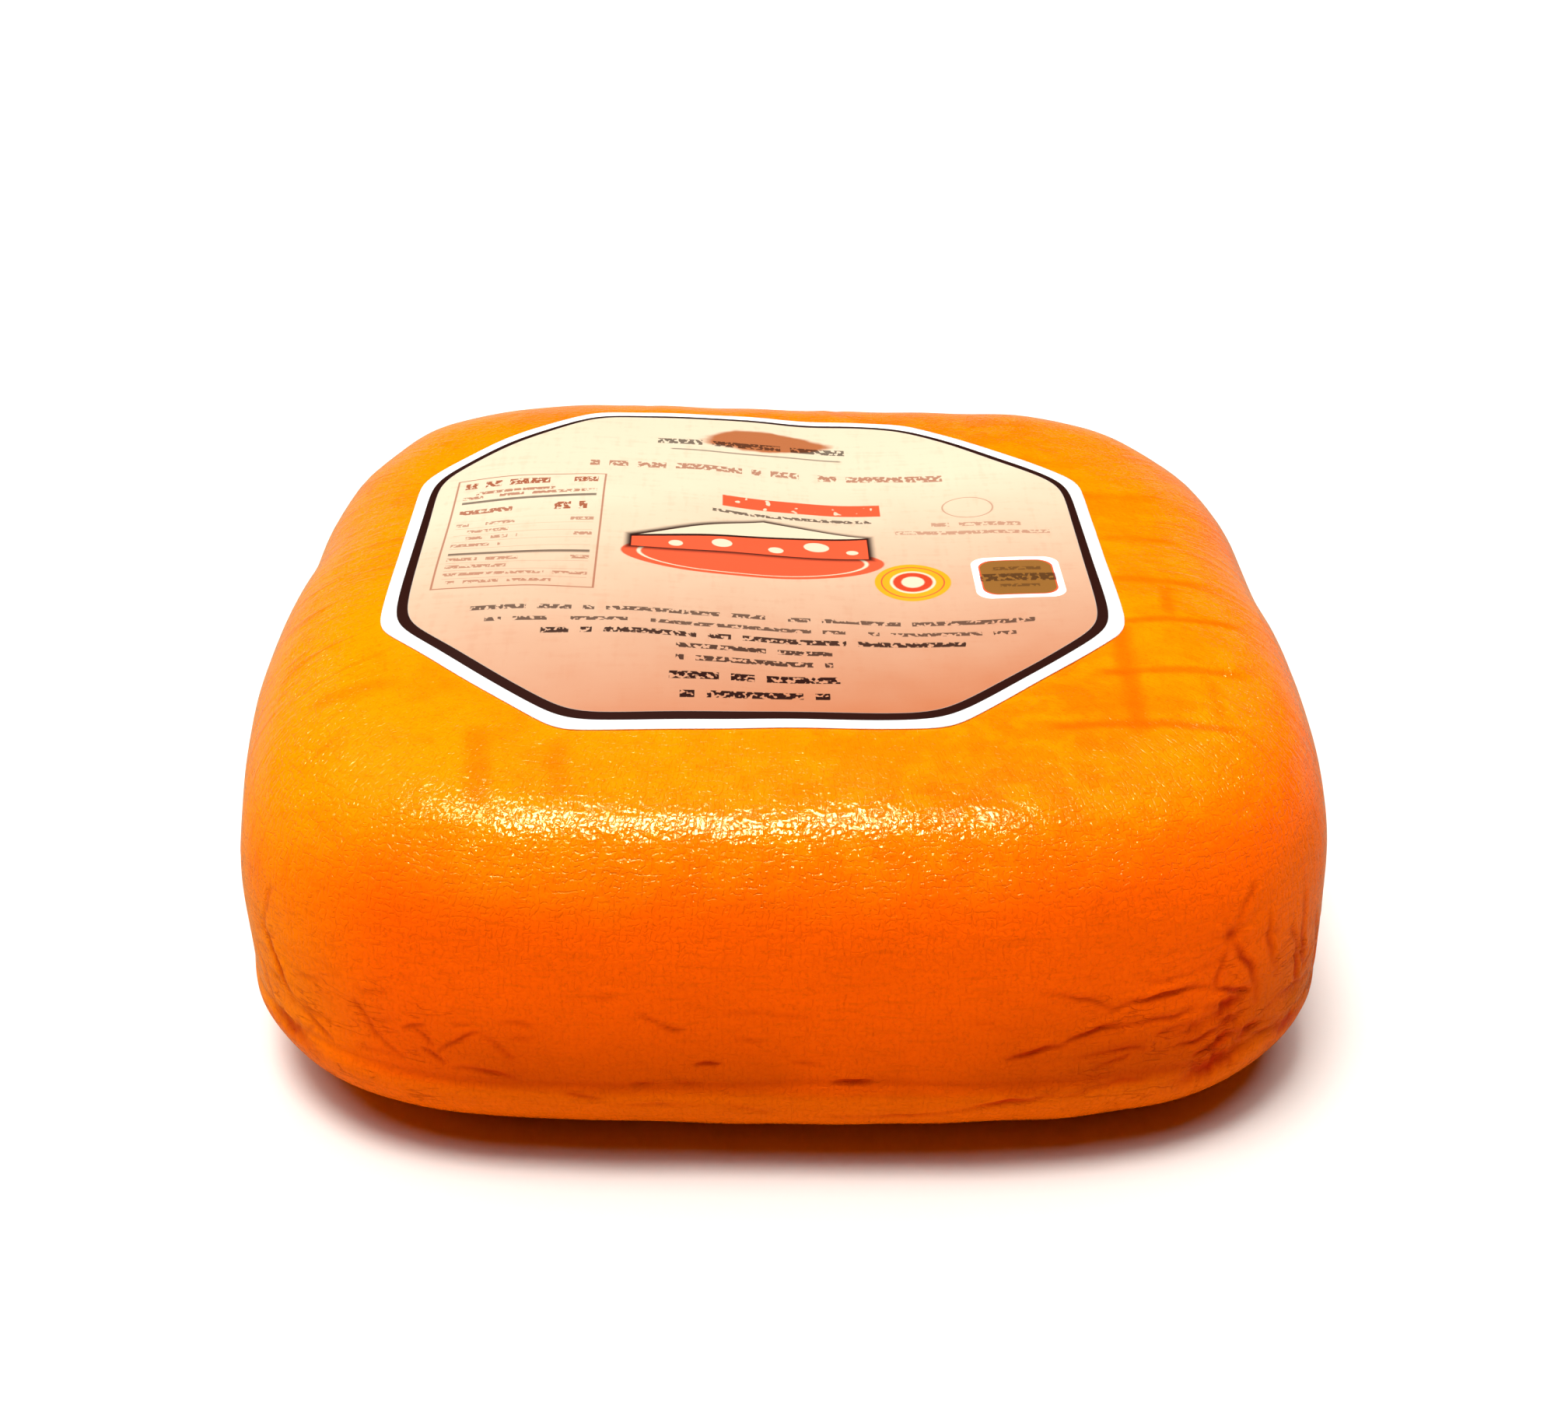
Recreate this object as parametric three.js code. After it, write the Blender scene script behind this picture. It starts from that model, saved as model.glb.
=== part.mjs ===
// A square pressed cheese with a waxed orange rind, resting on its base, and the paper label stuck on its top.
// Millimetres, +Z up. The origin is the middle of the base, at the level that the cheese stands on.

import * as THREE from "three";

// Driving dimensions of the cheese
const SIDE = 200; // width and depth across the belly, its widest level
const HEIGHT = 75; // height of the top where it has neither swell nor hollow
const BELLY = 20; // height of the widest level above the base
const FOOT = 0.72; // share of the plan outline that stands flat on the base
const CORNER_POWER = 3.9; // plan outline: 2 is a circle, higher is squarer
const SHOULDER_POWER = 4.9; // profile above the belly: higher is a flatter top and a tighter shoulder
const HEEL_POWER = 2.9; // profile below the belly
const LUMP_FADE = 4; // how fast the top's swells and hollows fade out down the shoulder

// The top's swells (rise above 0) and hollows, each a round bell shape of the given spread
const TOP_LUMPS = [
  { x: -72, y: 52, rise: 2.4, spread: 38 },
  { x: 22, y: -37, rise: -3.6, spread: 30 },
  { x: 24, y: 31, rise: -2.8, spread: 27 },
  { x: -51, y: -54, rise: -1.6, spread: 16 },
];

// Driving dimensions of the label, an octagon that follows the top
const LABEL_ACROSS = 137; // between opposite straight sides
const LABEL_SIDE = 67; // length of the front, back, left and right sides
const LABEL_CORNER_POWER = 50; // higher is a sharper corner
const LABEL_X = -5.3;
const LABEL_Y = -1;
const LABEL_TURN = THREE.MathUtils.degToRad(0.4);
const LABEL_THICKNESS = 0.3;
const GLUE_GAP = 0.3; // clearance between the label and the rind

// Fineness of the meshes
const CHEESE_SEGMENTS = 72;
const CHEESE_ROWS = 32;
const LABEL_SEGMENTS = 64;
const LABEL_RINGS = 7;

const HALF = SIDE / 2;
const CROWN = HEIGHT - BELLY; // rise from the belly to the top
// Depth of the heel's whole curve, of which the base cuts off the tip so that FOOT of the outline is flat
const HEEL = BELLY * (1 - FOOT ** HEEL_POWER) ** (-1 / HEEL_POWER);

// How far out in the plan outline a point lies: 0 on the axis, 1 on the outline of the belly.
function planGauge(x, y) {
  const along = (Math.abs(x) / HALF) ** CORNER_POWER;
  const across = (Math.abs(y) / HALF) ** CORNER_POWER;
  return (along + across) ** (1 / CORNER_POWER);
}

// Sum of the swells and hollows over a point of the plan.
function topLumps(x, y) {
  return TOP_LUMPS.reduce((sum, lump) => {
    const squared = (x - lump.x) ** 2 + (y - lump.y) ** 2;
    return sum + lump.rise * Math.exp(-squared / (2 * lump.spread ** 2));
  }, 0);
}

// Height of a point of the cheese that is `rise` above the belly, with the swells and hollows faded in by its rise.
function lumpyHeight(x, y, rise) {
  const share = Math.max(rise / CROWN, 0);
  return BELLY + rise + topLumps(x, y) * share ** LUMP_FADE;
}

// Height of the rind's top over a point of the plan.
function topHeight(x, y) {
  const share = Math.min(planGauge(x, y), 1) ** SHOULDER_POWER;
  return lumpyHeight(x, y, CROWN * (1 - share) ** (1 / SHOULDER_POWER));
}

// Moves each vertex of a geometry to where `place` puts it, and drops what no longer fits the new shape.
function reshape(geometry, place) {
  const position = geometry.getAttribute("position");
  const point = new THREE.Vector3();
  for (let i = 0; i < position.count; i++) {
    place(point.fromBufferAttribute(position, i));
    position.setXYZ(i, point.x, point.y, point.z);
  }
  geometry.deleteAttribute("uv");
  geometry.computeVertexNormals();
  return geometry;
}

// The cheese: a round profile of unit radius, turned about Z, then squared in plan.
// A row of the profile is a direction from the belly's centre, carried out to the superellipse of the shoulder or heel.
function cheeseGeometry() {
  const profile = [];
  for (let row = 0; row <= CHEESE_ROWS; row++) {
    const angle = Math.PI * (row / CHEESE_ROWS - 0.5);
    const power = angle > 0 ? SHOULDER_POWER : HEEL_POWER;
    const out = Math.cos(angle);
    const up = Math.sin(angle);
    const reach = (out ** power + Math.abs(up) ** power) ** (-1 / power);
    const isPole = row === 0 || row === CHEESE_ROWS;
    profile.push(new THREE.Vector2(isPole ? 0 : out * reach, up * reach));
  }
  const turned = new THREE.LatheGeometry(profile, CHEESE_SEGMENTS).rotateX(Math.PI / 2);
  return reshape(turned, (point) => {
    const gauge = Math.hypot(point.x, point.y);
    const squaring = gauge > 0 ? gauge / planGauge(point.x, point.y) : 0;
    point.x *= squaring;
    point.y *= squaring;
    point.z = Math.max(lumpyHeight(point.x, point.y, point.z * (point.z > 0 ? CROWN : HEEL)), 0);
  });
}

// Distance from the label's middle to its edge in one direction: a soft minimum over the eight straight sides.
function labelReach(angle) {
  const straight = LABEL_ACROSS / 2;
  const slanted = (straight + LABEL_SIDE / 2) / Math.SQRT2;
  let sum = 0;
  for (let side = 0; side < 8; side++) {
    const facing = Math.max(Math.cos(angle - (side * Math.PI) / 4), 0);
    sum += (facing / (side % 2 ? slanted : straight)) ** LABEL_CORNER_POWER;
  }
  return sum ** (-1 / LABEL_CORNER_POWER);
}

// The label: a thin disc of unit radius with rings on both faces, cut to the octagon and laid over the top.
function labelGeometry() {
  const profile = [];
  for (let ring = 0; ring <= LABEL_RINGS; ring++) {
    profile.push(new THREE.Vector2(ring / LABEL_RINGS, 0));
  }
  for (let ring = LABEL_RINGS; ring >= 0; ring--) {
    profile.push(new THREE.Vector2(ring / LABEL_RINGS, LABEL_THICKNESS));
  }
  const disc = new THREE.LatheGeometry(profile, LABEL_SEGMENTS).rotateX(Math.PI / 2);
  return reshape(disc, (point) => {
    const angle = Math.atan2(point.y, point.x);
    const reach = Math.hypot(point.x, point.y) * labelReach(angle);
    point.x = LABEL_X + reach * Math.cos(angle + LABEL_TURN);
    point.y = LABEL_Y + reach * Math.sin(angle + LABEL_TURN);
    point.z += topHeight(point.x, point.y) + GLUE_GAP;
  });
}

function namedMesh(name, geometry, color, roughness) {
  const material = new THREE.MeshStandardMaterial({ color, roughness, metalness: 0 });
  const mesh = new THREE.Mesh(geometry, material);
  mesh.name = name;
  return mesh;
}

const cheeseWheel = new THREE.Group();
cheeseWheel.add(namedMesh("cheese", cheeseGeometry(), 0xff8a05, 0.35));
cheeseWheel.add(namedMesh("label", labelGeometry(), 0xffd2b0, 0.5));

export default cheeseWheel;
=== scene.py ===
"""A square pressed cheese in a glossy orange coat, with an eight-sided paper label on its top.

The maths is in millimetres, and each mesh is turned into metres as it is made. The front is -Y and
up is +Z.
"""

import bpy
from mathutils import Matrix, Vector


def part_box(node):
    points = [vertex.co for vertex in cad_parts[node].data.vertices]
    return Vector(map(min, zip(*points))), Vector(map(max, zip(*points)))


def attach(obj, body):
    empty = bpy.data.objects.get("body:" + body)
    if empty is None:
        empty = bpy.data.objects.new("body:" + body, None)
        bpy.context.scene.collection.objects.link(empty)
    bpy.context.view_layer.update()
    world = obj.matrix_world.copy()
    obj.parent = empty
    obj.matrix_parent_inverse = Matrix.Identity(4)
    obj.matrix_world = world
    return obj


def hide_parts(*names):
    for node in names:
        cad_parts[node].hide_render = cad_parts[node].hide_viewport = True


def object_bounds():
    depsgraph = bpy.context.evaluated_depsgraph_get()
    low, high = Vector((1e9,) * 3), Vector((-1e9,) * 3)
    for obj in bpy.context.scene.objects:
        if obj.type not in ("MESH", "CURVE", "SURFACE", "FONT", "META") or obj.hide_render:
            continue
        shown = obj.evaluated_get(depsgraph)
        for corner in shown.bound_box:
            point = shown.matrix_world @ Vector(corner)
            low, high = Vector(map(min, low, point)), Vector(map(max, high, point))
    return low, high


bl_info = {
    "name": "Square Cheese",
    "version": (1, 0, 0),
    "blender": (4, 5, 0),
    "location": "3D Viewport > Sidebar > Cheese",
    "description": "Makes a square coated cheese, its paper label and a stage around the CAD frame",
    "category": "Add Mesh",
}

import math

import bpy
import numpy as np
from bpy.props import FloatProperty, FloatVectorProperty, PointerProperty
from mathutils import Matrix, Vector

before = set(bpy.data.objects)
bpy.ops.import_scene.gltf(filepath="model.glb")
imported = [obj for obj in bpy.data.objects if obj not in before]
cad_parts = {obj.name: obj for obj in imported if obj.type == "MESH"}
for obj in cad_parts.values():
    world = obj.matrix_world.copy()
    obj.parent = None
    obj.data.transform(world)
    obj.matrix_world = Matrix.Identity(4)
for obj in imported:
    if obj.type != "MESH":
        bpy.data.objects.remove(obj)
CAD_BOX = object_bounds()
CHEESE_LOW, CHEESE_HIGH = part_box("cheese")
MM = 0.001

# The cheese's plain shape, as the CAD solid has it
BELLY = 20  # height of the widest level
FOOT = 0.72  # share of the plan outline that stands flat
CORNER_POWER = 3.9  # plan outline: higher is squarer
SHOULDER_POWER = 4.9
HEEL_POWER = 2.9
LUMP_FADE = 4
# Swells and hollows of the top: x, y, rise, spread
TOP_LUMPS = ((-72, 52, 2.4, 38), (22, -37, -3.6, 30), (24, 31, -2.8, 27), (-51, -54, -1.6, 16))

# Bulges of the rind beyond the plain shape: x, y, z, spread, rise along the normal
BULGES = (
    (91, -18, 64, 26, 1.7),
    (96, -66, 26, 24, 2.0),
    (-92, -74, 34, 22, 1.5),
    (-86, 38, 67, 24, -1.0),
)

# The label's plain shape, as the CAD solid has it
LABEL_X = -5.3
LABEL_Y = -1
LABEL_TURN = math.radians(0.4)
LABEL_SIDE_SHARE = 0.489  # length of a straight side, of the width across
CUT_CORNER_POWER = 50
PRINT_CORNER_POWER = 34  # the printed line turns its corners more softly than the cut edge
LABEL_COLUMNS = 360
LABEL_RINGS = 30

# Grid of the rind
COLUMNS = 620
ROWS = 158
FINE_STEPS = 4096

# Deep creases of the side: start and end as (along, up), bow, depth, half width. Along is measured
# on the widest level from the middle of the front, to the right, and up from the base.
CREASES = (
    # right of the front
    ((42, 38.5), (56, 33.5), 0.8, 0.45, 0.5),
    ((54, 33.2), (74, 34.6), 1.4, 1.0, 0.56),
    ((52, 30.6), (71, 31.4), -0.6, 0.55, 0.56),
    ((60, 38.5), (76, 39.5), -0.8, 0.25, 0.5),
    ((37, 25.4), (47.5, 27.6), 0.3, 0.8, 0.56),
    ((46, 27.8), (57, 31.2), 0.4, 0.8, 0.5),
    ((49, 24.6), (62, 25.2), 0.8, 0.6, 0.5),
    ((51.5, 22.2), (59, 24.6), -0.2, 0.6, 0.43),
    ((63, 27.4), (73, 28.6), 0.5, 0.5, 0.56),
    ((66, 24.5), (79, 26.4), -0.6, 0.6, 0.56),
    ((74, 33.5), (83, 30), 0.6, 0.9, 0.62),
    ((70, 21.5), (85, 22.4), 0.9, 0.7, 0.62),
    ((84, 20.5), (97, 19), -0.7, 0.6, 0.56),
    ((88, 26), (104, 23.5), 0.8, 0.5, 0.62),
    # folds that run down from the pinch on the right corner
    ((77, 43), (84.5, 27), 0.9, 0.75, 0.68),
    ((76.5, 42), (74.5, 33), -0.5, 0.5, 0.62),
    ((78, 45), (82.5, 52), 0.5, 0.5, 0.68),
    ((85.5, 46), (88.5, 31), -0.9, 0.5, 0.68),
    ((91.5, 40), (95.5, 24), 1.2, 0.8, 0.68),
    ((97, 44), (98, 27), -1.0, 0.7, 0.74),
    ((103, 36), (106, 18), 1.4, 0.6, 0.74),
    ((92, 33), (99, 31), 0.4, 0.5, 0.56),
    # long low creases of the heel
    ((8, 13.2), (34, 15.4), -0.9, 0.45, 0.56),
    ((30, 14.6), (47, 17.6), 0.5, 0.75, 0.68),
    ((47, 17), (63, 18.6), 0.7, 0.5, 0.62),
    ((-37, 17.9), (-30, 17), 0.2, 0.5, 0.5),
    ((-10, 16.6), (-2, 14.2), -0.3, 0.4, 0.5),
    ((-30, 15.4), (-12, 15.8), 0.5, 0.25, 0.56),
    # middle of the front
    ((-24, 35.6), (-20.5, 33), -0.3, 0.45, 0.43),
    ((-20.8, 33), (-16.5, 32), -0.5, 0.5, 0.43),
    ((-10, 35.3), (5, 34.4), 0.3, 0.22, 0.5),
    ((-8.5, 29.8), (-3.5, 29.4), 0.1, 0.25, 0.43),
    ((-14.6, 24.2), (-10.4, 24.6), 0.5, 0.8, 0.43),
    ((1.5, 25.4), (6.5, 24.4), 0.2, 0.45, 0.43),
    ((8, 20.8), (15.5, 21.3), 0.1, 0.9, 0.5),
    ((-25.5, 20.4), (-21.5, 20.5), 0.1, 0.6, 0.43),
    ((-18.5, 20.7), (-13.5, 20.4), 0.1, 0.35, 0.43),
    ((-56, 22.2), (-44, 20.6), 0.5, 0.6, 0.5),
    # left of the front
    ((-72.6, 33.4), (-68.6, 25.4), 0.5, 0.7, 0.56),
    ((-69, 27.5), (-64, 22.4), -0.4, 0.6, 0.5),
    ((-62.4, 30.4), (-58.8, 26), 0.4, 0.7, 0.43),
    ((-64, 29), (-59.5, 30.6), 0.3, 0.5, 0.43),
    ((-58.4, 24.8), (-50.2, 30.4), 0.5, 0.55, 0.43),
    ((-50.4, 30.4), (-44.6, 25), -0.3, 0.5, 0.5),
    ((-61, 25.4), (-56.6, 22.8), 0.4, 0.6, 0.43),
    ((-55, 31.4), (-51.6, 31.8), 0.2, 0.4, 0.43),
    ((-47, 32.2), (-41, 32.4), 0.3, 0.3, 0.5),
    ((-95, 39), (-87.4, 25), 0.9, 0.9, 0.81),
    ((-91, 47), (-94.5, 37), -0.6, 0.5, 0.74),
    ((-100, 32), (-94, 21), 0.6, 0.5, 0.74),
    ((-86, 26), (-78, 21.5), 0.5, 0.5, 0.62),
)
# Dents of the side: along, up, half length, half height, tilt in degrees, depth
DENTS = (
    (75, 17.8, 6.5, 1.9, 9, 1.5),
    (77.5, 29.6, 3.4, 1.3, 24, 1.1),
    (78, 26.2, 2.6, 1.2, 12, 0.8),
    (76.5, 22.8, 3.4, 1.3, 20, 0.9),
    (83, 22.2, 3, 1.2, 12, 0.8),
    (70.5, 27.2, 2.2, 1, 20, 0.5),
    (95, 17.5, 5, 1.8, -8, 0.9),
    (-90, 19.5, 6, 1.7, -10, 0.8),
)
# Swells of the side: along, up, half length, half height, rise
SWELLS = (
    (-60, 34, 26, 11, 0.35),
    (66, 27, 14, 7, 0.5),
    (0, 40, 60, 12, 0.3),
)
PINCH = (77, 43.8)  # where the folds of the right corner meet
# Pimples of the coat: along, up, half width, rise
PIMPLES = (
    (-56.5, 58.6, 1.3, 0.75),
    (52.2, 56.5, 1.5, 0.8),
    (12.6, 47.1, 0.8, 0.4),
    (-12, 52, 0.6, 0.3),
    (31, 50.5, 0.6, 0.3),
)
LEDGE_UP = 20.2  # where the side ends and the heel turns in
# Lines that the folded cheesecloth pressed into the top: start, end, depth, half width
CLOTH_LINES = (
    ((61, -13), (84, -11.5), 0.22, 1.1),
    ((60, -31.4), (88, -26), 0.3, 0.9),
    ((54, -49.2), (84, -45.4), 0.3, 1.0),
    ((43, -68), (80, -63.6), 0.34, 0.9),
    ((62, -30), (60.2, -70), 0.3, 1.6),
    ((73, -13), (72.2, -29), 0.24, 1.1),
    ((76, -48), (75, -64), 0.16, 1.2),
    ((62, 6), (82, 8), 0.18, 1.2),
    ((60, 26), (80, 29), 0.16, 1.3),
    ((-30, 74), (-28, 88), 0.2, 1.5),
    ((14, 73), (13, 89), 0.2, 1.5),
    ((-52, -66), (-50, -88), 0.2, 1.9),
    ((-38, -70), (-37, -86), 0.16, 1.7),
    ((-66, -52), (-84, -56), 0.16, 1.8),
)
# Marks on the label, in millimetres from its middle. The wedge's corners run anticlockwise.
WEDGE_OUTLINE = ((-24.6, -3.6), (23.6, -3.2), (23.6, 7.8), (2.4, 13.2), (-24.6, 2.4))
WEDGE_TOP = ((-22, 2.2), (22.4, 7.4), (2.2, 12.2))
WEDGE_SIDE = ((-23.6, -2.8), (22.6, -2.4), (22.6, 6.6), (-23.6, 1.2))
WEDGE_HOLES = (
    ((-15, -0.6), 1.4),
    ((-6, 0.6), 2.0),
    ((4.5, -0.4), 1.5),
    ((12.5, 2.2), 2.5),
    ((19.5, 0.4), 1.2),
)
# Rows of made-up print: middle, left end, right end, half height, share of ink
INK_ROWS = (
    (-28.5, -52, 52, 0.8, 0.8),
    (-32.8, -49, 49, 0.7, 0.8),
    (-37.0, -38.5, 38.5, 0.95, 0.95),
    (-41.2, -14, 14, 0.85, 0.9),
    (-45.6, -14, 14, 0.95, 0.9),
    (-51.8, -15, 15, 1.3, 1.0),
    (-58.2, -13, 13, 1.2, 1.0),
    (15.2, -8, 24, 0.7, 0.8),
    (50.4, -20, 20, 1.4, 0.8),
    (-11.2, 43.4, 58, 1.6, 0.7),
    (-7.4, 46, 55.5, 0.7, 0.5),
    (-14.8, 47, 54.5, 0.6, 0.5),
)
CORAL_ROWS = ((20.4, -6, 26, 2.6, 1.0),)
FAINT_ROWS = (
    (36.5, -38, 40, 1.5, 0.8),
    (13.6, 36, 54, 0.9, 0.6),
    (9.6, 28.5, 61, 0.8, 0.6),
)
PANEL_ROWS = (
    (26.6, -58.6, -31.4, 1.3, 1.0),
    (22.8, -58.6, -40, 0.6, 0.8),
    (21.0, -58.6, -31.4, 0.6, 0.8),
    (14.4, -58.6, -48, 1.0, 0.9),
    (14.4, -40, -31.4, 1.6, 1.0),
    (8.4, -58.6, -47, 0.7, 0.7),
    (5.0, -57, -48, 0.7, 0.7),
    (1.7, -58.6, -46, 0.7, 0.7),
    (-1.7, -58.6, -49, 0.7, 0.7),
    (-8.4, -58.6, -45, 0.7, 0.7),
    (-11.7, -58.6, -47, 0.7, 0.7),
    (-15.0, -58.6, -31.4, 0.6, 0.7),
    (-18.2, -58.6, -38, 0.6, 0.7),
    (8.4, -36, -31.4, 0.7, 0.7),
    (1.7, -35, -31.4, 0.7, 0.7),
    (-8.4, -35, -31.4, 0.7, 0.7),
)
SEED = 11
CLOTH_SEED = 500
WAVE_COUNT = 28
SMALL_CREASES = 150
FLOOR_SIDES = 96


# --------------------------------------------------------------------------------------------------
# Shape of the cheese


def plan_gauge(x, y, half, power=CORNER_POWER):
    """How far out in plan a point lies: |x / half| and |y / half| to the power, added, rooted."""
    return ((np.abs(x) / half) ** power + (np.abs(y) / half) ** power) ** (1 / power)


def top_lumps(x, y):
    """A sum of bells: rise times e to minus half the square of distance over spread."""
    total = np.zeros(np.broadcast(x, y).shape)
    for at_x, at_y, rise, spread in TOP_LUMPS:
        total += rise * np.exp(-((x - at_x) ** 2 + (y - at_y) ** 2) / (2 * spread**2))
    return total


def plain_cheese(angle, lift, half, height):
    """Points of the plain cheese for a plan angle and a profile angle, -90 degrees at the bottom.

    The profile angle's cosine and sine are carried out to a superellipse, as the reach out from the
    axis and up or down from the belly. The reach out is multiplied by the superellipse of the plan.
    The base is cut flat at 0.
    """
    crown = height - BELLY
    heel = BELLY * (1 - FOOT**HEEL_POWER) ** (-1 / HEEL_POWER)
    power = np.where(lift > 0, SHOULDER_POWER, HEEL_POWER)
    reach = (np.cos(lift) ** power + np.abs(np.sin(lift)) ** power) ** (-1 / power)
    out = np.cos(lift) * reach / plan_gauge(np.cos(angle), np.sin(angle), half)
    up = np.sin(lift) * reach
    x = out * np.cos(angle)
    y = out * np.sin(angle)
    z = BELLY + up * np.where(lift > 0, crown, heel)
    z = z + top_lumps(x, y) * np.clip(up, 0, 1) ** LUMP_FADE
    return np.stack([x, y, np.maximum(z, 0)], axis=-1)


def top_height(x, y, half, height):
    """Height of the plain top over a point of the plan, by the superellipse of the shoulder."""
    crown = height - BELLY
    share = (1 - np.minimum(plan_gauge(x, y, half), 1) ** SHOULDER_POWER) ** (1 / SHOULDER_POWER)
    return BELLY + crown * share + top_lumps(x, y) * share**LUMP_FADE


def waves(points, length, rise, seed):
    """Uneven swell: sine waves of about one length, in random directions and phases, added up."""
    random = np.random.default_rng(seed)
    ways = random.normal(size=(WAVE_COUNT, 3))
    ways /= np.linalg.norm(ways, axis=1, keepdims=True)
    lengths = length * random.uniform(0.7, 1.5, WAVE_COUNT)
    phases = random.uniform(0, 2 * np.pi, WAVE_COUNT)
    turns = points @ (ways / lengths[:, None] * 2 * np.pi).T + phases
    return rise * np.sin(turns).sum(axis=-1) * math.sqrt(2 / WAVE_COUNT)


def bell(distance, half_width):
    """1 in the middle, falling to e to the minus 1 at half_width."""
    return np.exp(-((distance / half_width) ** 2))


def soft_step(value, low, high):
    """0 below low and 1 above high, with three t squared less two t cubed between them."""
    t = np.clip((value - low) / (high - low), 0, 1)
    return t * t * (3 - 2 * t)


def crease(across, up, start, end, bow, depth, half_width, seed):
    """A groove with a raised lip above it, along a bowed and wobbling line that fades at both ends.

    Gives the relief, which is minus the depth times a bell of the distance from the line, plus a
    wider and lower bell beside it, and the share by which a point lies in the groove.
    """
    random = np.random.default_rng(seed)
    along_x, along_y = end[0] - start[0], end[1] - start[1]
    length = math.hypot(along_x, along_y)
    way = (along_x / length, along_y / length)
    t = ((across - start[0]) * way[0] + (up - start[1]) * way[1]) / length
    aside = (up - start[1]) * way[0] - (across - start[0]) * way[1]
    inner = np.clip(t, 0, 1)
    phases = random.uniform(0, 2 * np.pi, 3)
    paces = (0.9, 1.7, 3.1)
    wobble = sum(np.sin(inner * length / pace + phase) for pace, phase in zip(paces, phases))
    line = bow * 4 * inner * (1 - inner) + 0.22 * half_width * wobble
    uneven = 0.75 + 0.25 * np.sin(inner * length / 2.3 + phases[0])
    fade = np.sqrt(4 * inner * (1 - inner)) * uneven
    groove = bell(aside - line, half_width) * fade
    lip = bell(aside - line - 1.7 * half_width, 1.3 * half_width) * fade
    return depth * (0.4 * lip - groove), groove


def small_creases(random, outline):
    """Short, mostly level creases, thickest near the four corners and low on the side."""
    corner = random.integers(0, 4, SMALL_CREASES)
    middle = (corner + 0.5) / 4 * outline - outline / 2
    across = middle + random.normal(0, 22, SMALL_CREASES)
    up = np.clip(random.normal(27, 9, SMALL_CREASES), 9, 52)
    length = random.uniform(2.5, 10, SMALL_CREASES)
    tilt = random.normal(0, 0.35, SMALL_CREASES)
    depth = random.uniform(0.08, 0.3, SMALL_CREASES)
    half_width = random.uniform(0.5, 0.8, SMALL_CREASES)
    bow = random.normal(0, 0.5, SMALL_CREASES)
    run = 0.5 * length * np.cos(tilt)
    rise = 0.5 * length * np.sin(tilt)
    return [
        ((a - r, u - s), (a + r, u + s), b, d, w)
        for a, u, r, s, b, d, w in zip(across, up, run, rise, bow, depth, half_width)
    ]


def swell_of_rind(points):
    """The rind's uneven swell, which the label follows too: waves, and bells about a few points."""
    swell = waves(points, 62, 0.38, SEED) + waves(points, 24, 0.12, SEED + 1)
    for x, y, z, spread, rise in BULGES:
        swell = swell + rise * bell(np.linalg.norm(points - np.array([x, y, z]), axis=-1), spread)
    return swell


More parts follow.
